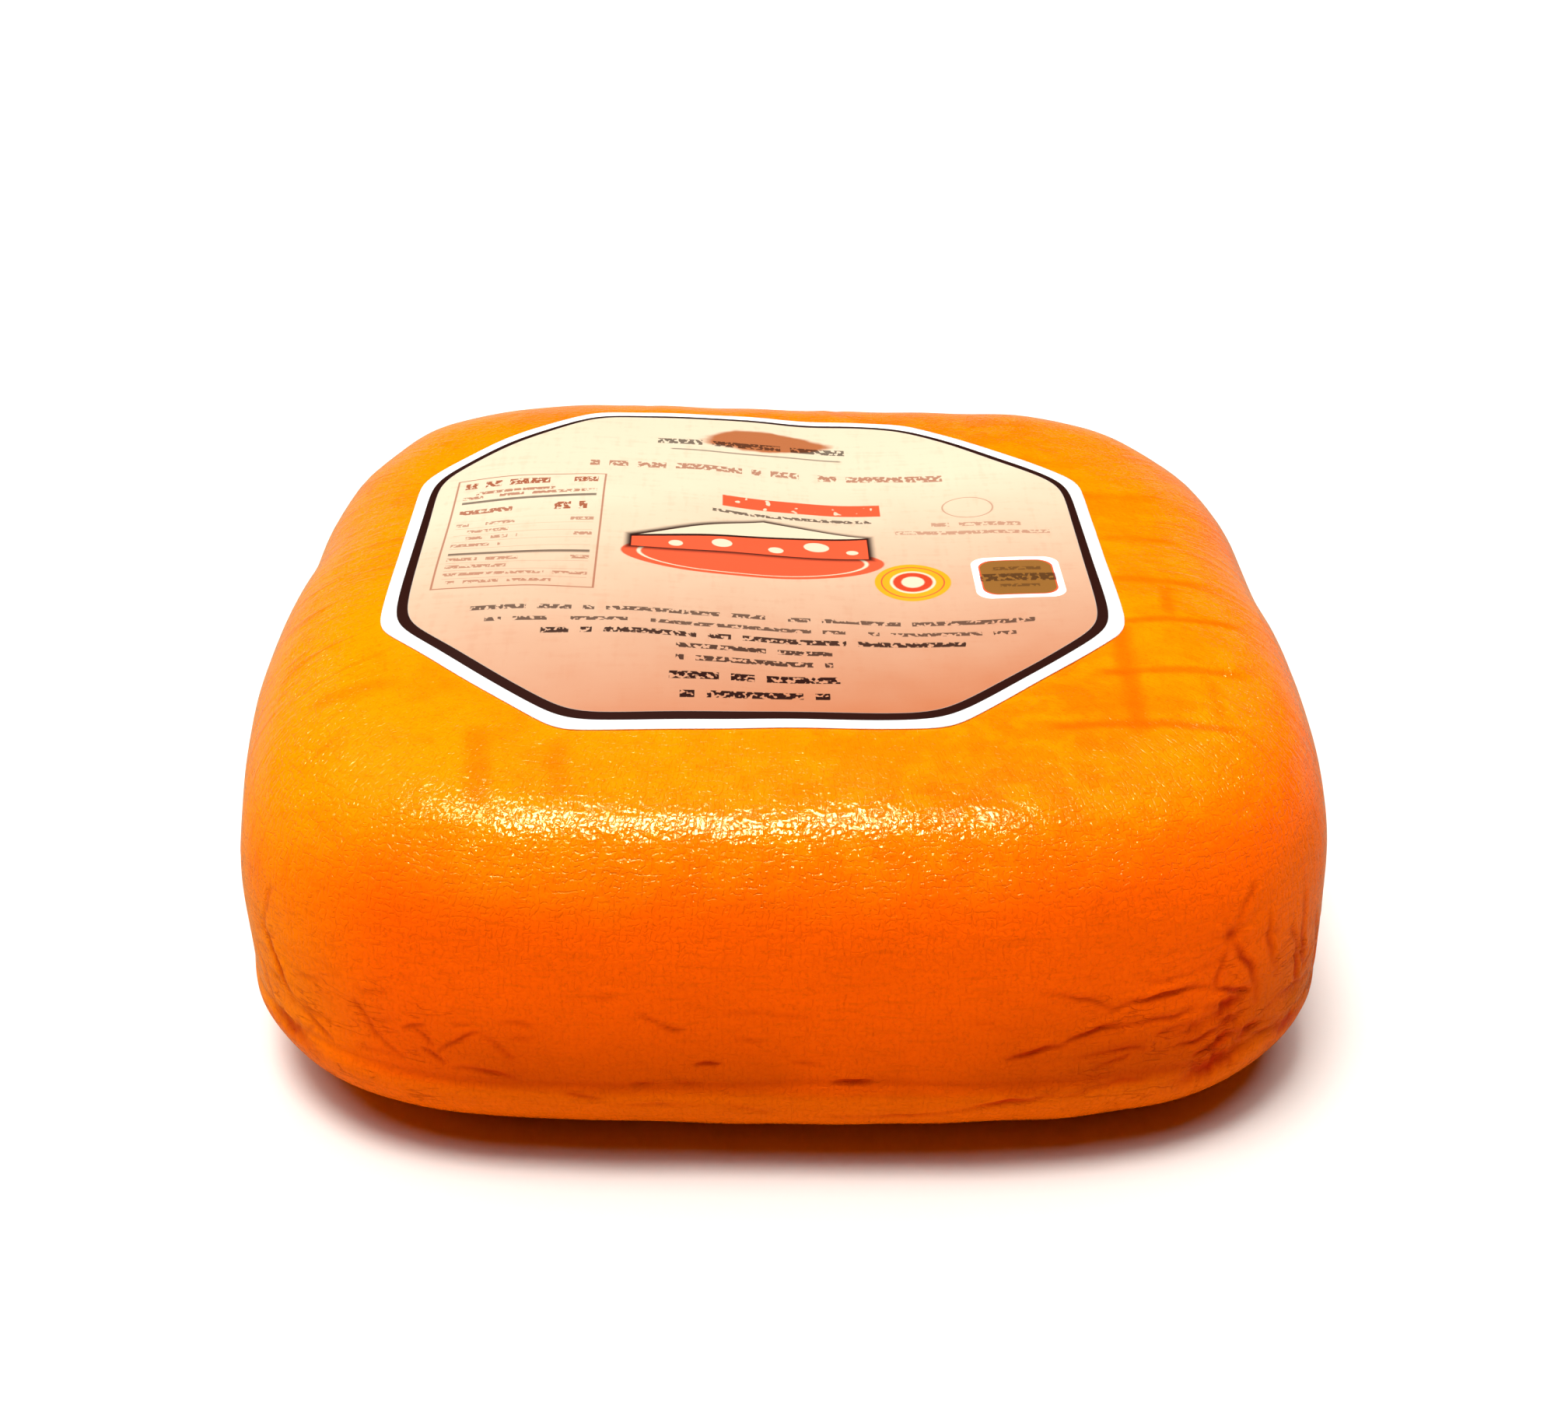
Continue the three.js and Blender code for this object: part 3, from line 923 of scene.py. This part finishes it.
def label_material(settings):
    """Printed paper: a bare border, a dark line, and a field from cream behind to peach in front.

    On the field are a wedge of cheese on a plate, two plain seals, a ruled panel and rows of
    made-up print.
    """
    shader = Shader("printed_paper")
    flat = shader.node("ShaderNodeUVMap", {"uv_map": "flat"})
    across = settings.across / MM
    place = shader.scaled(shader.shifted(flat, (-0.5, -0.5, 0)), (across, across, 0))
    x, y, _ = shader.split(place)
    inset = shader.attribute("inset")
    border = settings.border / MM
    line = settings.line / MM
    soft = 0.1
    ink = opaque(settings.ink_colour)
    faint = opaque(settings.faint_colour)
    coral = opaque(settings.emblem_colour)
    cream = opaque(settings.back_colour)
    peach = opaque(settings.front_colour)
    amber = opaque(settings.seal_colour)
    ochre = opaque(settings.panel_colour)
    red = opaque(settings.red_colour)
    rust = opaque(settings.rust_colour)
    paper = opaque(settings.paper_colour)

    # The field, and the paper's fibres
    fibres = shader.noise(shader.scaled(place, (1, 0.15, 1)), 1.6, 2)
    fibres = fibres + shader.noise(shader.scaled(place, (0.15, 1, 1)), 1.6, 2)
    clouds = shader.noise(place, 11, 3)
    field = (y - x * 0.25 + (clouds - 0.5) * 14 + 74) / 102
    colour = shader.mix(field.most(0.0).least(1.0), peach, cream)
    colour = shader.mix((fibres - 1.0).step(0.0, 0.35) * 0.12, colour, peach)

    # Emblem: an oval plate, the wedge's side with holes, its top, and the ink round it
    plate = printed_round(shader, place, (0, -4.6), (25.5, 7.6))
    colour = shader.mix(plate.step(1.01, 0.99), colour, coral)
    colour = shader.mix(plate.between(0.85, 0.88, 0.01), colour, cream)
    colour = shader.mix(printed_shape(x, y, WEDGE_OUTLINE, 0.9), colour, ink)
    colour = shader.mix(printed_shape(x, y, WEDGE_TOP, 0.1), colour, cream)
    colour = shader.mix(printed_shape(x, y, WEDGE_SIDE, 0.1), colour, coral)
    for middle, radius in WEDGE_HOLES:
        hole = printed_round(shader, place, middle, (radius, radius * 0.8))
        colour = shader.mix(hole.step(1.05, 0.95), colour, cream)

    # Seals
    seal = printed_round(shader, place, (30.5, -12.3), (7.3, 7.3))
    colour = shader.mix(seal.step(1.02, 0.98), colour, amber)
    colour = shader.mix(seal.between(0.8, 0.84, 0.01), colour, coral)
    colour = shader.mix(seal.step(0.62, 0.58), colour, cream)
    colour = shader.mix(seal.between(0.3, 0.52, 0.03), colour, red)
    for spread, fill in ((0.0, paper), (1.3, coral), (1.6, ochre)):
        reach_x = (abs(x - 50.7) - (8.5 - 3 - spread)).most(0.0)
        reach_y = (abs(y + 11.2) - (8.8 - 3 - spread)).most(0.0)
        rounded = (reach_x * reach_x + reach_y * reach_y) ** 0.5
        colour = shader.mix(rounded.step(3 + soft, 3 - soft), colour, fill)
    ring = printed_round(shader, place, (44, 21.6), (5.4, 5))
    colour = shader.mix(ring.between(0.92, 0.98, 0.02) * 0.6, colour, faint)

    # Ornament at the back
    mound = printed_round(shader, place, (3, 53.5), (13, 5.5)) + (clouds - 0.5) * 0.8
    colour = shader.mix(mound.step(1.1, 0.85) * 0.95, colour, rust)
    underline = y.between(45.6, 46.3, 0.2) * x.between(-17, 19, 0.5)
    colour = shader.mix(underline * 0.6, colour, ink)

    # Panel: a frame, rules, and rows of made-up print
    in_panel = x.between(-60.4, -29.8, soft) * y.between(-20.7, 29.8, soft)
    in_frame = x.between(-60.0, -30.2, soft) * y.between(-20.3, 29.4, soft)
    in_columns = x.between(-58.6, -31.4, soft)
    rules = abs((y / 3.35).fraction() - 0.5).step(0.46, 0.49) * y.between(-19, 10, soft)
    rules = rules * in_columns
    bars = y.between(-6.4, -5.4, soft).most(y.between(18.4, 19.4, soft)) * in_columns
    colour = shader.mix((in_panel - in_frame) * 0.8, colour, faint)
    colour = shader.mix(rules * 0.4, colour, faint)
    colour = shader.mix(bars * 0.75, colour, ink)
    colour = shader.mix(printed_rows(shader, place, PANEL_ROWS, 0.75), colour, faint)

    # Rows of print
    colour = shader.mix(printed_rows(shader, place, CORAL_ROWS, 2.0, 0.3), colour, coral)
    colour = shader.mix(printed_rows(shader, place, INK_ROWS, 0.95), colour, ink)
    colour = shader.mix(printed_rows(shader, place, FAINT_ROWS, 0.9), colour, faint)

    # Border and line
    inside = (inset + y * 0.009).step(border + line - soft, border + line + soft)
    in_line = inset.step(border - soft, border + soft) * (1 - inside)
    colour = shader.mix(1 - inside, colour, paper)
    colour = shader.mix(in_line, colour, ink)
    looks = {"Base Color": colour, "Roughness": 0.5 - in_line * 0.08, "Specular IOR Level": 0.12}
    return shader.finish(shader.surface(looks, fibres * 0.02))


def floor_material(settings):
    """Plain pale floor, which is darker where the cheese mirrors it."""
    shader = Shader("pale_floor")
    coordinates = shader.node("ShaderNodeTexCoord", None, None, "Object")
    grain = shader.noise(coordinates, 4 * MM, 2)
    mirrored = shader.node("ShaderNodeLightPath", None, None, "Is Glossy Ray")
    colour = shader.mix(mirrored, opaque(settings.floor_colour), opaque(settings.mirrored_colour))
    looks = {"Base Color": colour, "Roughness": 0.9, "Specular IOR Level": 0.1}
    return shader.finish(shader.surface(looks, grain * 0.01))


# --------------------------------------------------------------------------------------------------
# Stage


def even_light(name, lean_front, lean_right, spread, strength, mirrored):
    """Light from far overhead, as wide as its spread, that leans to the front and the right.

    One that isn't mirrored lights the surfaces but makes no highlight on them, as through a wide
    soft cloth. One that is mirrored only makes the highlight. The angles are in degrees.
    """
    light = bpy.data.lights.new(name, "SUN")
    light.energy = strength
    light.angle = math.radians(spread)
    lamp = bpy.data.objects.new(name, light)
    lamp.rotation_euler = (math.radians(lean_front), math.radians(lean_right), 0)
    lamp.location = (0, 0, 1)
    lamp.visible_glossy = mirrored
    lamp.visible_diffuse = not mirrored
    bpy.context.scene.collection.objects.link(lamp)


def camera(settings):
    """A camera aimed near the middle of the frame's box, from a heading and an elevation."""
    lens = bpy.data.cameras.new("camera")
    lens.lens = settings.lens
    lens.sensor_width = 36
    lens.clip_start = 0.01
    lens.clip_end = 20
    middle = (CAD_BOX[0] + CAD_BOX[1]) / 2
    aim = middle + Vector((settings.aim_right, 0, settings.aim_up))
    turn = (
        Matrix.Rotation(settings.heading, 3, "Z")
        @ Matrix.Rotation(math.pi / 2 - settings.elevation, 3, "X")
        @ Matrix.Rotation(settings.roll, 3, "Z")
    )
    view = bpy.data.objects.new("camera", lens)
    view.location = aim + turn @ Vector((0, 0, settings.distance))
    view.rotation_euler = turn.to_euler()
    bpy.context.scene.collection.objects.link(view)
    bpy.context.scene.camera = view


def floor(settings):
    """A round plain floor at the level of the cheese's base."""
    turns = np.linspace(0, 2 * np.pi, FLOOR_SIDES, endpoint=False)
    radius = settings.floor_radius / MM
    rim = np.stack([radius * np.cos(turns), radius * np.sin(turns), 0 * turns], axis=-1)
    points = np.concatenate([rim, [[0, 0, 0]]])
    faces = [fan_faces(np.arange(FLOOR_SIDES), FLOOR_SIDES, outward=True)]
    mesh_object("floor", points, faces, floor_material(settings))


def surroundings(settings):
    """A plain white room behind the stage, which neither lights the pieces nor shows in them."""
    world = bpy.data.worlds.new("white_room")
    bpy.context.scene.world = world
    world.use_nodes = True
    background = world.node_tree.nodes["Background"]
    background.inputs["Color"].default_value = opaque(settings.room_colour)
    background.inputs["Strength"].default_value = 1.0
    world.cycles_visibility.diffuse = False
    world.cycles_visibility.glossy = False


# --------------------------------------------------------------------------------------------------
# Settings


def colour_setting(name, description, default):
    return FloatVectorProperty(
        name=name, description=description, subtype="COLOR", min=0, max=1, default=default
    )


def length_setting(name, description, default):
    return FloatProperty(name=name, description=description, unit="LENGTH", default=default)


def number_setting(name, description, default):
    return FloatProperty(name=name, description=description, default=default, min=0)


def angle_setting(name, description, degrees):
    return FloatProperty(
        name=name, description=description, subtype="ANGLE", default=math.radians(degrees)
    )


class RindSettings(bpy.types.PropertyGroup):
    """Sizes and colours of the cheese and its coat."""

    side: length_setting("Side", "Across the widest level", CHEESE_HIGH.x - CHEESE_LOW.x)
    height: length_setting("Height", "Height of the top between its swells and hollows", 75 * MM)
    creasing: number_setting("Creasing", "How deep the creases and dents are", 0.7)
    thread_pitch: length_setting("Thread pitch", "Between threads of the cloth's print", 1.05 * MM)
    upper_shine: number_setting("Upper shine", "Reflection of the top and shoulder", 0.3)
    lower_shine: number_setting("Lower shine", "Reflection of the side", 0.02)
    upper_tint: colour_setting("Upper tint", "Tint of the upper reflection", (1.0, 0.82, 0.36))
    lower_tint: colour_setting("Lower tint", "Tint of the side's reflection", (1.0, 0.6, 0.1))
    top_colour: colour_setting("Top", "Coat on the top", (0.9, 0.168, 0.0004))
    # Also used as painted light on the far left of the side
    pale_colour: colour_setting("Pale top", "Yellower coat on the top", (0.9, 0.235, 0.0004))
    flank_colour: colour_setting("Flank", "Coat on the upper side", (0.99, 0.107, 0.0003))
    # Painted shade low on the side; also the colour of the brushed streaks and the grain
    lower_shade_and_grain_colour: colour_setting("Lower side", "Coat low on the side", (0.46, 0.054, 0.0003))
    # Painted shade on the right end of the side
    shade_colour: colour_setting("Right side", "Browner coat on the right", (0.72, 0.16, 0.0004))
    # Painted light from the floor on the heel
    heel_floor_light_colour: colour_setting("Heel", "Coat under the ledge", (0.92, 0.145, 0.0003))
    # Also painted shade along the pressed cloth lines
    warm_and_shade_colour: colour_setting("Warm clouds", "Redder clouds in the coat", (0.92, 0.1, 0.0004))
    # Painted shade in the grooves and cracks of the side
    crease_shade_colour: colour_setting("Crease", "Coat down in the creases", (0.5, 0.022, 0.0004))
    speck_colour: colour_setting("Specks", "Tiny dark specks in the coat", (0.2, 0.04, 0.002))


class LabelSettings(bpy.types.PropertyGroup):
    """Sizes and colours of the paper label."""

    across: length_setting("Across", "Width between opposite straight sides", 137 * MM)
    thickness: length_setting("Thickness", "Thickness of the paper", 0.15 * MM)
    raised: length_setting("Raised", "Clearance between the paper and the coat", 0.1 * MM)
    border: length_setting("Border", "Width of the bare edge", 2.5 * MM)
    line: length_setting("Line", "Width of the printed line inside the bare edge", 1.8 * MM)
    paper_colour: colour_setting("Paper", "Bare paper", (0.86, 0.84, 0.8))
    back_colour: colour_setting("Back of the field", "Field at the back", (0.62, 0.5, 0.35))
    front_colour: colour_setting("Front of the field", "Field at the front", (0.42, 0.13, 0.05))
    ink_colour: colour_setting("Ink", "Dark printing ink", (0.02, 0.004, 0.002))
    faint_colour: colour_setting("Faint ink", "Lighter brown ink", (0.28, 0.08, 0.035))
    emblem_colour: colour_setting("Emblem", "Ink of the emblem", (0.62, 0.075, 0.025))
    seal_colour: colour_setting("Seal", "Ink of the round seal", (0.62, 0.29, 0.006))
    panel_colour: colour_setting("Panel", "Ink of the square seal", (0.22, 0.09, 0.015))
    rust_colour: colour_setting("Rust", "Ink of the ornament at the back", (0.34, 0.09, 0.02))
    red_colour: colour_setting("Red", "Ink of the ring in the round seal", (0.5, 0.04, 0.01))


class StageSettings(bpy.types.PropertyGroup):
    """Floor, light and camera."""

    floor_colour: colour_setting("Floor", "Colour of the floor", (0.73, 0.69, 0.64))
    mirrored_colour: colour_setting("Mirrored floor", "Floor as mirrored", (0.26, 0.22, 0.14))
    floor_radius: length_setting("Floor radius", "How far the floor reaches", 30.0)
    room_colour: colour_setting("Room", "Colour of the room behind the stage", (1.0, 1.0, 1.0))
    wide_strength: number_setting("Wide light", "Strength of the wide light overhead", 3.7)
    key_strength: number_setting("Key light", "Strength of the narrower light", 2.7)
    shine_strength: number_setting("Shine", "Strength of the highlight", 5.6)
    lens: number_setting("Lens", "Focal length in millimetres", 50.7)
    distance: length_setting("Distance", "From the aim to the camera", 0.45)
    aim_right: length_setting("Aim right", "How far right of the middle the camera aims", 1.2 * MM)
    aim_up: length_setting("Aim up", "How far above the middle the camera aims", -1.6 * MM)
    elevation: angle_setting("Elevation", "How far the camera looks down", 29.1)
    heading: angle_setting("Heading", "How far the camera stands round to the right", -1.04)
    roll: angle_setting("Roll", "Turn about the view", 0.7)


# --------------------------------------------------------------------------------------------------
# Operators and panel


class CHEESE_OT_stage(bpy.types.Operator):
    """Make the floor, the lights and the camera"""

    bl_idname = "cheese.stage"
    bl_label = "Make the stage"

    def execute(self, context):
        settings = context.scene.cheese_stage
        context.scene.view_settings.view_transform = "Standard"
        surroundings(settings)
        floor(settings)
        even_light("wide", -8, -7, 72, settings.wide_strength, False)
        even_light("key", 5, -9, 24, settings.key_strength, False)
        shine = settings.shine_strength
        even_light("shine", 12, -5, 17, shine, True)
        even_light("shine_left", -1, -18, 14, shine * 0.25, True)
        even_light("shine_right", 8, 6, 12, shine * 0.15, True)
        camera(settings)
        return {"FINISHED"}


class CHEESE_OT_rind(bpy.types.Operator):
    """Make the coated cheese in place of its plain CAD solid"""

    bl_idname = "cheese.rind"
    bl_label = "Make the cheese"

    def execute(self, context):
        rind = rind_mesh(context.scene.cheese_rind)
        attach(rind, "root")
        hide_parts("cheese")
        return {"FINISHED"}


class CHEESE_OT_label(bpy.types.Operator):
    """Make the paper label in place of its plain CAD solid"""

    bl_idname = "cheese.label"
    bl_label = "Make the label"

    def execute(self, context):
        label = label_mesh(context.scene.cheese_label, context.scene.cheese_rind)
        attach(label, "root")
        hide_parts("label")
        return {"FINISHED"}


class VIEW3D_PT_cheese(bpy.types.Panel):
    """The cheese's settings and operators"""

    bl_label = "Square Cheese"
    bl_space_type = "VIEW_3D"
    bl_region_type = "UI"
    bl_category = "Cheese"

    def draw(self, context):
        scene = context.scene
        groups = (
            (scene.cheese_rind, "cheese.rind"),
            (scene.cheese_label, "cheese.label"),
            (scene.cheese_stage, "cheese.stage"),
        )
        for settings, operator in groups:
            box = self.layout.box()
            for name in settings.__annotations__:
                box.prop(settings, name)
            box.operator(operator)


CLASSES = (
    RindSettings,
    LabelSettings,
    StageSettings,
    CHEESE_OT_stage,
    CHEESE_OT_rind,
    CHEESE_OT_label,
    VIEW3D_PT_cheese,
)


def register():
    for item in CLASSES:
        bpy.utils.register_class(item)
    bpy.types.Scene.cheese_rind = PointerProperty(type=RindSettings)
    bpy.types.Scene.cheese_label = PointerProperty(type=LabelSettings)
    bpy.types.Scene.cheese_stage = PointerProperty(type=StageSettings)


def unregister():
    del bpy.types.Scene.cheese_stage
    del bpy.types.Scene.cheese_label
    del bpy.types.Scene.cheese_rind
    for item in reversed(CLASSES):
        bpy.utils.unregister_class(item)


def main():
    register()
    bpy.ops.cheese.stage()
    bpy.ops.cheese.rind()
    bpy.ops.cheese.label()


if __name__ == "__main__":
    main()
